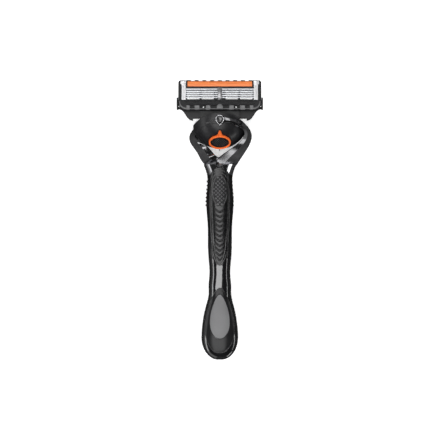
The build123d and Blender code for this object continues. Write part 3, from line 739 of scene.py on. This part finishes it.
# ------------------------------------------------------------------------------ handle
@dataclass
class HandleTrim:
    """Ribs, rims and studs of the handle's soft panels, and the seam round the tail panel."""

    outfitter: Outfitter
    rib_count: int = 11
    rib_first_y: float = 4.3
    rib_pitch: float = 2.42
    rib_depth: float = 2.6
    rib_radius: float = 0.60
    stud_pitch: float = 0.95
    stud_half: float = 0.64
    pad_middle: Point = (0.0, 14.85, 0.0)
    pad_half_x: float = 3.95
    pad_half_y: float = 8.05
    rim_inset: float = 0.25
    stud_margin: float = 0.95
    egg_narrowing: float = 0.31
    egg_widest: float = 0.36
    tip_share: float = 0.35

    def rib(self, index: int) -> bpy.types.Object:
        """One crescent rib, thick in its middle and drawn out to its tips."""
        share = index / (self.rib_count - 1)
        half = 3.15 - 1.55 * share**2.2
        low = self.rib_first_y - index * self.rib_pitch
        depth = self.rib_depth * (0.75 + 0.25 * (1 - share))
        tip = self.tip_share
        points = [
            (half * t * MM, (low + depth * abs(t) ** 1.6) * MM, 0.0)
            for t in (-1.0, -0.8, -0.6, -0.4, -0.2, 0.0, 0.2, 0.4, 0.6, 0.8, 1.0)
        ]
        return bead(
            f"crescent_rib_{index + 1}",
            points,
            self.rib_radius * MM,
            taper=lambda t: tip + (1 - tip) * math.sin(math.pi * t) ** 0.6 if 0 < t < 1 else tip,
        )

    def crescent_ribs(self) -> None:
        """The column of crescent ribs under the thumb pad."""
        ribs = [self.rib(index) for index in range(self.rib_count)]
        whole = joined("grip_crescent_ribs", ribs)
        Ground("front_grip", "front_casing").drape(whole, 0.05 * MM)
        self.outfitter.fit(whole, "handle", "grip_rubber", 60.0)

    def outline(self, name: str, half: Sequence[tuple[float, float]], radius: float) -> None:
        """A closed bead through points given for the right side, from top to bottom.

        Args:
            name: The piece's name.
            half: Its points in millimetres; the first and last lie on the middle line.
            radius: The bead's radius in millimetres.
        """
        right = [(x * MM, y * MM, 0.0) for x, y in half]
        left = [(-x, y, z) for x, y, z in reversed(right[1:-1])]
        whole = bead(name, smooth_path(right + left, 5, True), radius * MM, closed=True)
        Ground("front_grip", "thumb_pad", "front_casing").drape(whole, radius * 0.25 * MM)
        self.outfitter.fit(whole, "handle", "casing_gloss", 60.0)

    def rims(self) -> None:
        """The two long rims that frame the grip and the rim of the thumb pad."""
        outer = (
            (0.0, 25.3), (2.6, 24.4), (4.35, 21.8), (4.95, 17.5), (5.0, 10.0), (4.9, 1.0),
            (4.4, -8.0), (3.75, -14.5), (2.5, -19.2), (1.2, -21.3), (0.0, -21.9),
        )
        inner = (
            (0.0, 23.9), (2.3, 23.0), (3.75, 20.6), (4.25, 16.5), (4.15, 9.0), (3.85, 2.0),
            (3.55, -5.0), (3.05, -11.5), (2.4, -16.2), (1.3, -19.4), (0.0, -20.5),
        )
        self.outline("grip_outer_rim", outer, 0.24)
        self.outline("grip_inner_rim", inner, 0.30)
        pad = oval(
            tuple(part * MM for part in self.pad_middle),
            (self.pad_half_x - self.rim_inset) * MM, (self.pad_half_y - self.rim_inset) * MM, 48,
        )
        rim = bead("thumb_pad_rim", pad, 0.28 * MM, closed=True)
        Ground("thumb_pad", "front_grip").drape(rim, 0.05 * MM)
        self.outfitter.fit(rim, "handle", "casing_gloss", 60.0)

    def stud(self) -> bpy.types.Object:
        """One diamond stud with a dished top, at the origin."""
        bpy.ops.object.select_all(action="DESELECT")
        bpy.ops.mesh.primitive_cone_add(
            vertices=4, radius1=self.stud_half * MM, radius2=self.stud_half * 0.62 * MM,
            depth=0.5 * MM, location=(0, 0, 0.05 * MM),
        )
        piece = settled("stud")
        with at_work(piece):
            pick_faces(piece, is_top)
            bpy.ops.mesh.inset(thickness=0.08 * MM, depth=-0.05 * MM)
        return piece

    def thumb_studs(self) -> None:
        """The diamond lattice of the thumb pad."""
        margin = self.stud_margin
        half = (self.pad_half_x - margin, self.pad_half_y - margin)
        whole = lattice(
            "thumb_pad_studs", self.stud(), self.stud_pitch, (5, 10), half,
            lambda x, y: (x * MM, (self.pad_middle[1] + y) * MM, 0.0),
        )
        Ground("thumb_pad").drape(whole)
        self.outfitter.fit(whole, "handle", "pad_rubber", 20.0)

    def tail_seams(self) -> None:
        """The polished beads round the tail panel and its inlay."""
        for name, half_x, low, high, radius, slot, ground in (
            ("tail_panel_seam", 7.4, -66.6, -33.8, 0.13, "casing_gloss", ("tail_panel", "front_casing")),
            ("tail_inlay_rim", 5.1, -59.4, -37.0, 0.16, "panel_gloss", ("tail_badge", "tail_panel")),
        ):
            wide = low + (high - low) * self.egg_widest
            points = []
            for turn in (2 * math.pi * index / 72 for index in range(72)):
                rise = math.sin(turn)
                narrow = 1 - self.egg_narrowing * rise * rise if rise > 0 else 1.0
                y = wide + rise * (high - wide if rise > 0 else wide - low)
                points.append((half_x * narrow * math.cos(turn) * MM, y * MM, 0.0))
            seam = bead(name, points, radius * MM, closed=True)
            Ground(*ground).drape(seam)
            self.outfitter.fit(seam, "handle", slot, 60.0)

    def build(self) -> None:
        """Builds the handle's trim."""
        self.rims()
        self.crescent_ribs()
        self.thumb_studs()
        self.tail_seams()


# ------------------------------------------------------------------------------ yoke and pod
@dataclass
class HeadTrim:
    """The chromed eye, the pin's dished head, the button's bead and studs, the nib and the cap's seam."""

    outfitter: Outfitter
    eye_middle: Point = (0.0, 50.3, 25.78)
    eye_radius: float = 1.92
    eye_tip_y: float = 47.3
    eye_shoulder: float = 0.55
    lean: float = math.radians(45.0)
    button_middle: Point = (0.0, 38.9, 17.7)
    button_shift: float = 0.83
    button_half_x: float = 4.65
    button_half_t: float = 3.6
    nib_middle: Point = (0.0, 35.65, 10.8)
    nib_tip_y: float = 34.8
    stud_pitch: float = 0.58
    stud_margin: float = 0.9
    stud_lift: float = 0.62
    ring_half_x: float = 5.08
    ring_half_t: float = 4.02
    ring_lift: float = 0.88

    def facet(self, u: float, t: float, lift: float) -> Point:
        """A point on the button's sloping facet, in metres.

        Args:
            u: Along X from its middle, in millimetres.
            t: Up the slope.
            lift: Out of it.

        Returns:
            The point in the model's frame.
        """
        run, rise = math.cos(self.lean), math.sin(self.lean)
        return (
            u * MM,
            (self.button_middle[1] + t * run - lift * rise) * MM,
            (self.button_middle[2] + t * rise + lift * run) * MM,
        )

    def eye_rim(self) -> None:
        """The bright raised rim of the front eye, drawn to a point towards the button."""
        x0, y0, z0 = self.eye_middle
        points = []
        for degrees in range(-45, 226, 18):
            turn = math.radians(degrees)
            x = x0 + self.eye_radius * math.cos(turn) * MM
            points.append((x, (y0 + self.eye_radius * math.sin(turn)) * MM, z0 * MM))
        for side in (-1, 0, 1):
            x = x0 + side * self.eye_shoulder * MM
            points.append((x, (self.eye_tip_y + abs(side) * self.eye_shoulder) * MM, z0 * MM))
        rim = bead("eye_rim", points, 0.20 * MM, closed=True)
        self.outfitter.fit(rim, "handle", "yoke_chrome", 60.0)

    def pin_head(self) -> None:
        """The black pin's dished head inside the eye."""
        at = (0.0, self.eye_middle[1], self.eye_middle[2] + 0.1)
        piece = cylinder("pin_head", at, 1.42, 0.5, 32)
        with at_work(piece):
            pick_faces(piece, is_top)
            bpy.ops.mesh.inset(thickness=0.32 * MM, depth=0.0)
            bpy.ops.mesh.inset(thickness=0.12 * MM, depth=-0.2 * MM)
        rounded(piece, 0.08 * MM)
        self.outfitter.fit(piece, "handle", "pivot_black", 30.0)

    def button_studs(self) -> None:
        """Rows of small round studs on the button's soft pad."""
        pattern = cylinder("button_stud", (0.0, 0.0, 0.0), 0.17, 0.3, 8)
        with at_work(pattern):
            pick_faces(pattern, is_top)
            bpy.ops.mesh.bevel(offset=0.07 * MM, segments=1)
        pattern.data.transform(Matrix.Rotation(self.lean, 4, "X"))
        half = (self.button_half_x - self.stud_margin, self.button_half_t - self.stud_margin)
        whole = lattice(
            "button_studs", pattern, self.stud_pitch, (6, 4), half,
            lambda u, t: self.facet(u, t + self.button_shift, self.stud_lift),
        )
        self.outfitter.fit(whole, "button", "pad_rubber", 30.0)

    def button_bevel(self) -> None:
        """The rounded bead along the middle of the ring."""
        level = oval((0.0, 0.0, 0.0), self.ring_half_x * MM, self.ring_half_t * MM, 56)
        ring = bead("button_ring_round", level, 0.40 * MM, closed=True)
        ring.data.transform(Matrix.Rotation(self.lean, 4, "X"))
        ring.data.transform(Matrix.Translation(self.facet(0.0, self.button_shift, self.ring_lift)))
        self.outfitter.fit(ring, "button", "button_orange", 60.0)

    def nib(self) -> None:
        """The small moulded nib under the cap."""
        piece = cylinder("cap_nib", self.nib_middle, 0.26, 1.7, 12, (math.pi / 2, 0.0, 0.0))
        with at_work(piece):
            pick_faces(piece, is_low_end)
            tip = (0.0, self.nib_tip_y * MM, self.nib_middle[2] * MM)
            bpy.ops.transform.resize(value=(0.6, 1.0, 0.6), center_override=tip)
        rounded(piece, 0.06 * MM)
        self.outfitter.fit(piece, "pod", "cap_plastic", 40.0)

    def cap_seam(self) -> None:
        """The thin dark seam where the pod's cap meets its shell, above the button."""
        points = [(x * MM, y * MM, 0.0) for x, y in (
            (-10.7, 43.2), (-9.6, 45.7), (-7.0, 47.3), (-3.5, 48.25), (3.5, 48.25), (7.0, 47.3),
            (9.6, 45.7), (10.4, 43.2),
        )]
        seam = bead("cap_seam", smooth_path(points, 6, False), 0.14 * MM)
        Ground("pod_cap", "pod_front_shell").drape(seam, 0.02 * MM)
        self.outfitter.fit(seam, "pod", "pod_plastic", 60.0)

    def build(self) -> None:
        """Builds the head's trim."""
        self.eye_rim()
        self.pin_head()
        self.button_bevel()
        self.button_studs()
        self.nib()
        self.cap_seam()


# ------------------------------------------------------------------------------ cartridge
@dataclass
class CartridgeTrim:
    """Comb, ridges, strut, blade edges, clip folds and tabs, made on the cartridge's own tilted face."""

    outfitter: Outfitter
    pivot_y: float = 58.0
    pivot_z: float = 23.0
    tilt: float = math.radians(10.0)
    comb_low_v: float = -3.05
    comb_high_v: float = -1.35
    blade_first_v: float = 2.4
    blade_pitch: float = 1.06
    block_overhang: float = 0.35
    tab_pitch: float = 3.82

    def settle(self, piece: bpy.types.Object) -> bpy.types.Object:
        """Moves a piece made in the face's own millimetre plane into the model's frame."""
        turn = Matrix.Rotation(-self.tilt, 4, "X")
        piece.data.transform(Matrix.Translation((0.0, self.pivot_y * MM, self.pivot_z * MM)) @ turn)
        return piece

    def put(
        self, name: str, pieces: Sequence[bpy.types.Object], slot: str, smooth: float = 40.0
    ) -> bpy.types.Object:
        """Joins pieces made on the face's plane and fits them to the cartridge."""
        whole = self.settle(joined(name, pieces))
        self.outfitter.fit(whole, "cartridge", slot, smooth)
        return whole

    def box(self, name: str, low: Point, high: Point, round_mm: float) -> bpy.types.Object:
        """A rounded block between two corners given in millimetres on the face's plane."""
        middle = tuple((a + b) / 2 * MM for a, b in zip(low, high))
        size = tuple((b - a) * MM for a, b in zip(low, high))
        piece = block(name, middle, size)
        rounded(piece, round_mm * MM)
        return piece

    def comb_block(self, low_x: float, high_x: float, index: int) -> bpy.types.Object:
        """One comb block with a shallow tray sunk in its top."""
        middle_v = (self.comb_low_v - self.block_overhang + self.comb_high_v) / 2
        depth = self.comb_high_v - self.comb_low_v + self.block_overhang
        piece = block(
            f"comb_block_{index}",
            ((low_x + high_x) / 2 * MM, middle_v * MM, 1.75 * MM),
            ((high_x - low_x) * MM, depth * MM, 1.5 * MM),
        )
        with at_work(piece):
            pick_faces(piece, is_top)
            bpy.ops.mesh.inset(thickness=0.25 * MM, depth=-0.08 * MM)
        rounded(piece, 0.1 * MM)
        return piece

    def comb(self) -> None:
        """The comb: blocks, centre nose, corner lips and the thin lip below them."""
        pieces = []
        index = 0
        for low_x, high_x in ((4.7, 6.9), (10.1, 12.5)):
            for side in (-1, 1):
                index += 1
                ends = sorted((side * low_x, side * high_x))
                pieces.append(self.comb_block(ends[0], ends[1], index))
        nose = cylinder("comb_nose", (0.0, -2.2, 1.75), 1.5, 1.7, 28)
        with at_work(nose):
            bpy.ops.mesh.select_all(action="SELECT")
            bpy.ops.mesh.bisect(
                plane_co=(0.0, -2.9 * MM, 0.0), plane_no=(0.0, -1.0, 0.0), clear_outer=True, use_fill=True
            )
        rounded(nose, 0.15 * MM)
        pieces.append(nose)
        corner = (
            (-20.05, 1.9), (-20.0, 0.4), (-19.5, -1.2), (-18.4, -2.35), (-16.8, -2.85), (-15.4, -2.95),
        )
        for side in (1, -1):
            path = [(side * x * MM, v * MM, 1.95 * MM) for x, v in corner]
            pieces.append(
                bead("corner_lip", smooth_path(path, 5, False), 0.46 * MM,
                     taper=lambda t: 0.35 + 0.65 * min(1.0, t / 0.6))
            )
        lip = [(x * MM, -2.98 * MM, 2.0 * MM) for x in (-15.6, -8.0, 0.0, 8.0, 15.6)]
        pieces.append(bead("front_lip", lip, 0.2 * MM))
        for side in (-1, 1):
            ends = sorted((side * 14.9, side * 16.6))
            pieces.append(self.comb_block(ends[0], ends[1], index + 2 + side))
        whole = self.put("comb_blocks", pieces, "comb_plastic")
        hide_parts("comb_bar")

    def marks(self) -> None:
        """Two pale moulding buttons in the comb's slots."""
        dots = []
        for side in (-1, 1):
            dot = cylinder("comb_mark", (side * 8.1, -2.15, 1.75), 0.42, 1.3, 16)
            with at_work(dot):
                pick_faces(dot, is_top)
                bpy.ops.mesh.bevel(offset=0.14 * MM, segments=2)
            dots.append(dot)
        self.put("comb_marks", dots, "clip_aluminium")

    def ridges(self) -> None:
        """The three soft ridges along the guard."""
        ridges = []
        for v, w, half, radius in (
            (1.05, 2.42, 17.3, 0.22), (0.1, 2.42, 17.4, 0.16), (-0.75, 2.36, 17.2, 0.16),
        ):
            line = [(x * half / 4 * MM, v * MM, w * MM) for x in (-4, -2, 0, 2, 4)]
            ridges.append(bead("ridge", line, radius * MM))
        self.put("guard_ridges", ridges, "guard_rubber", 60.0)

    def strut(self) -> None:
        """The centre strut across the window and the small rest under it."""
        pieces = [
            self.box("strut", (-1.15, 2.5, 1.1), (1.15, 7.75, 2.42), 0.25),
            self.box("strut_foot", (-0.8, 1.75, 1.0), (0.8, 2.35, 2.3), 0.12),
        ]
        self.put("window_strut", pieces, "weight_steel")

    def blade_edges(self) -> None:
        """Polished honed edges that catch the light, one for each blade."""
        for index in range(5):
            v = self.blade_first_v + index * self.blade_pitch
            at, size = (0.0, (v + 0.16) * MM, 2.16 * MM), (36.6 * MM, 0.34 * MM, 0.07 * MM)
            edge = block(f"blade_edge_{index + 1}", at, size)
            with at_work(edge):
                pick_faces(edge, is_low_end)
                bpy.ops.transform.resize(
                    value=(1.0, 1.0, 0.15), center_override=(0.0, (v - 0.01) * MM, 2.17 * MM)
                )
            self.settle(edge)
            self.outfitter.fit(edge, f"blade_unit_{index + 1}", "blade_steel", 30.0)

    def clips(self) -> None:
        """The folded tongue, the step and the crease of each of the two clips."""
        pieces = []
        for side in (-1, 1):
            middle = side * 18.1
            for name, half, low_v, high_v, top, round_mm in (
                ("clip_tongue", 1.0, 10.35, 11.25, 2.72, 0.1),
                ("clip_step", 1.25, 9.35, 9.75, 2.62, 0.08),
            ):
                low, high = (middle - half, low_v, 2.4), (middle + half, high_v, top)
                pieces.append(self.box(name, low, high, round_mm))
            line = [(side * 17.9 * MM, v * MM, 2.5 * MM) for v in (2.2, 5.0, 8.6)]
            pieces.append(bead("clip_crease", line, 0.14 * MM))
        self.put("clip_folds", pieces, "clip_aluminium")

    def top_tabs(self) -> None:
        """The row of small rounded tabs along the cartridge's top edge."""
        tabs = []
        for index in range(9):
            x = self.tab_pitch * (index - 4.0)
            tabs.append(self.box(f"tab_{index}", (x - 0.95, 11.2, -1.6), (x + 0.95, 11.75, 1.6), 0.22))
        self.put("top_tabs", tabs, "housing_plastic")

    def build(self) -> None:
        """Builds the cartridge's trim."""
        self.comb()
        self.marks()
        self.ridges()
        self.strut()
        self.blade_edges()
        self.clips()
        self.top_tabs()


# ------------------------------------------------------------------------------ springs
@dataclass
class Springs:
    """The two coil springs inside the pod."""

    outfitter: Outfitter
    merge_mm: float = 0.001

    def shorten(self, node: str) -> None:
        """Makes one spring: a copy of its CAD node, with doubled points merged, hung on the pod.

        Args:
            node: The CAD spring that it stands for.
        """
        coil = frame["nodes"][node].copy()
        coil.data = frame["nodes"][node].data.copy()
        coil.name = f"{node}_coil"
        bpy.context.scene.collection.objects.link(coil)
        with at_work(coil):
            bpy.ops.mesh.select_all(action="SELECT")
            bpy.ops.mesh.remove_doubles(threshold=self.merge_mm * MM)
        self.outfitter.fit(coil, "pod", "spring_steel", 60.0)
        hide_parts(node)
        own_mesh(coil)

    def build(self) -> None:
        """Builds both springs."""
        self.shorten("plunger_spring")
        self.shorten("ejector_spring")


# ------------------------------------------------------------------------------ studio
class Reach(Enum):
    """Whether a light reaches only the pieces it is linked to, or all but those."""

    ONLY = "INCLUDE"
    ALL_BUT = "EXCLUDE"


@dataclass
class Studio:
    """The camera above the razor, the floor, and panels that show as reflections.

    The floor is pale to the camera and glows a little, but it is dark in reflections. Three panels are
    kept off the chrome, and three others light nothing else. A floor and lights without this have
    floor_lift at 0, mirrored_floor equal to floor_colour, and no call of light_chrome.
    """

    field_size: float = 0.220
    aim: Point = (0.0001, 0.0003, 0.015)
    distance: float = 1.15
    sensor: float = 36.0
    floor_size: float = 6.0
    floor_colour: Colour = (0.93, 0.93, 0.93)
    floor_lift: float = 0.50
    mirrored_floor: Colour = (0.045, 0.045, 0.045)
    fill_watts: float = 46.0
    glow: float = 0.38
    overhead: float = 0.03
    glow_band: tuple[float, float] = (0.0, 0.75)
    left_share: float = 1.3
    right_share: float = 0.15
    hard_panels: tuple[str, ...] = ("top_panel", "tail_panel_right", "left_panel")
    softboxes: list[bpy.types.Object] = field(default_factory=list)

    def camera(self) -> None:
        """Adds the camera, looking straight down on the blade face."""
        data = bpy.data.cameras.new("camera")
        data.sensor_width = self.sensor
        data.lens = self.sensor * self.distance / self.field_size
        data.clip_start, data.clip_end = 0.05, 20.0
        eye = bpy.data.objects.new("camera", data)
        eye.location = (self.aim[0], self.aim[1], self.aim[2] + self.distance)
        bpy.context.scene.collection.objects.link(eye)
        bpy.context.scene.camera = eye

    def floor(self) -> None:
        """Adds the floor, whose colour is another one in reflections."""
        bpy.ops.object.select_all(action="DESELECT")
        bpy.ops.mesh.primitive_plane_add(size=self.floor_size)
        plane = bpy.context.active_object
        plane.name = "floor"
        graph = Graph("pale_floor")
        mirrored = graph.node("ShaderNodeLightPath", output="Is Glossy Ray")
        seen = graph.node("ShaderNodeLightPath", output="Is Camera Ray")
        glow = (self.floor_lift, self.floor_lift, self.floor_lift)
        graph.principled(
            Base_Color=graph.blend(mirrored, self.floor_colour, self.mirrored_floor),
            Roughness=0.8,
            Specular_IOR_Level=0.1,
            Emission_Color=graph.blend(seen, (0.0, 0.0, 0.0), glow),
            Emission_Strength=1.0,
        )
        plane.data.materials.append(graph.material)

    def softbox(
        self, name: str, at: Point, size: tuple[float, float], watts: float, gloss_only: bool = True
    ) -> None:
        """Adds one area light that faces the razor.

        Args:
            name: The light's name.
            at: Its place.
            size: Its width and height.
            watts: Its power.
            gloss_only: Whether it shows as a reflection and lights nothing; otherwise the reverse.
        """
        data = bpy.data.lights.new(name, "AREA")
        data.shape = "RECTANGLE"
        data.size, data.size_y = size
        data.energy = watts
        lamp = bpy.data.objects.new(name, data)
        lamp.location = at
        lamp.rotation_euler = (Vector(self.aim) - Vector(at)).to_track_quat("-Z", "Y").to_euler()
        lamp.visible_glossy = gloss_only
        lamp.visible_diffuse = not gloss_only
        bpy.context.scene.collection.objects.link(lamp)
        self.softboxes.append(lamp)

    def sky(self) -> None:
        """Adds a surround that glows low down, more on the left, and darkens overhead."""
        world = bpy.data.worlds.new("surround")
        world.use_nodes = True
        tree = world.node_tree
        way = tree.nodes.new("ShaderNodeTexCoord").outputs["Generated"]
        split = tree.nodes.new("ShaderNodeSeparateXYZ")
        tree.links.new(way, split.inputs[0])
        shares = []
        for axis, low, high, at_low, at_high in (
            (2, *self.glow_band, self.glow, self.overhead),
            (0, -1.0, 1.0, self.left_share, self.right_share),
        ):
            ranged = tree.nodes.new("ShaderNodeMapRange")
            ranged.interpolation_type = "SMOOTHSTEP"
            tree.links.new(split.outputs[axis], ranged.inputs["Value"])
            for name, value in zip(
                ("From Min", "From Max", "To Min", "To Max"), (low, high, at_low, at_high)
            ):
                ranged.inputs[name].default_value = value
            shares.append(ranged.outputs[0])
        product = tree.nodes.new("ShaderNodeMath")
        product.operation = "MULTIPLY"
        for index, share in enumerate(shares):
            tree.links.new(share, product.inputs[index])
        tree.links.new(product.outputs[0], tree.nodes["Background"].inputs["Strength"])
        tree.nodes["Background"].inputs["Color"].default_value = (1.0, 1.0, 1.0, 1.0)
        bpy.context.scene.world = world

    def panel(self, name: str, at: Point, size: tuple[float, float], glow: float) -> None:
        """Adds a panel that shows only as a reflection, by how bright it looks."""
        watts = glow * math.pi * size[0] * size[1]
        self.softbox(name, at, size, watts)

    def light_chrome(self, plated: Sequence[bpy.types.Object]) -> None:
        """Keeps the brightest panels off the plated pieces and gives them three of their own.

        Args:
            plated: The chromed pieces.
        """
        for lamp in self.softboxes:
            if lamp.name in self.hard_panels:
                self.link(lamp, plated, Reach.ALL_BUT)
        for name, at, size, look in (
            ("chrome_panel", (-0.36, -0.33, 1.15), (0.24, 0.34), 1.5),
            ("chrome_right", (0.80, 0.10, 0.50), (1.20, 0.55), 2.6),
            ("chrome_left", (-0.80, 0.10, 0.50), (1.20, 0.30), 1.2),
        ):
            self.panel(name, at, size, look)
            self.link(self.softboxes[-1], plated, Reach.ONLY)

    def link(self, lamp: bpy.types.Object, pieces: Sequence[bpy.types.Object], reach: Reach) -> None:
        """Links a light to pieces, or keeps it off them."""
        group = bpy.data.collections.new(f"{lamp.name}_receivers")
        for piece in pieces:
            group.objects.link(piece)
        for entry in group.collection_objects:
            entry.light_linking.link_state = reach.value
        lamp.light_linking.receiver_collection = group

    def build(self) -> None:
        """Sets up camera, floor and lights."""
        self.camera()
        self.floor()
        self.sky()
        overhead = ((0.0, 0.0, 1.6), (2.2, 2.2))
        self.softbox("overhead_fill", *overhead, self.fill_watts, gloss_only=False)
        for name, at, size, look in (
            ("top_panel", (-0.15, -0.05, 1.25), (0.9, 0.58), 6.0),
            ("left_panel", (-0.85, 0.00, 0.55), (1.2, 0.25), 5.0),
            ("face_panel", (0.0, 0.50, 1.20), (0.5, 0.22), 1.8),
            ("head_panel", (0.0, 0.95, 0.52), (0.9, 0.45), 1.1),
            ("right_strip", (0.75, 0.10, 0.38), (1.2, 0.08), 6.0),
            ("tail_panel_left", (-0.55, -0.80, 0.42), (0.9, 0.5), 1.0),
            ("tail_panel_right", (0.75, -0.85, 0.20), (0.5, 0.16), 8.0),
        ):
            self.panel(name, at, size, look)
        bpy.context.scene.view_settings.view_transform = "Standard"
        LOG.info("studio ready with %d lights", len(self.softboxes))


# ------------------------------------------------------------------------------ main
def main() -> None:
    """Builds the razor's looks and the studio."""
    logging.basicConfig(level=logging.INFO, format="%(name)s: %(message)s")
    wardrobe = Wardrobe()
    studio = Studio()
    studio.build()
    wardrobe.dress_nodes()
    outfitter = Outfitter(wardrobe)
    HandleTrim(outfitter).build()
    HeadTrim(outfitter).build()
    CartridgeTrim(outfitter).build()
    Springs(outfitter).build()
    studio.light_chrome([frame["nodes"]["yoke"]])
    bpy.context.view_layer.update()


if __name__ == "__main__":
    main()
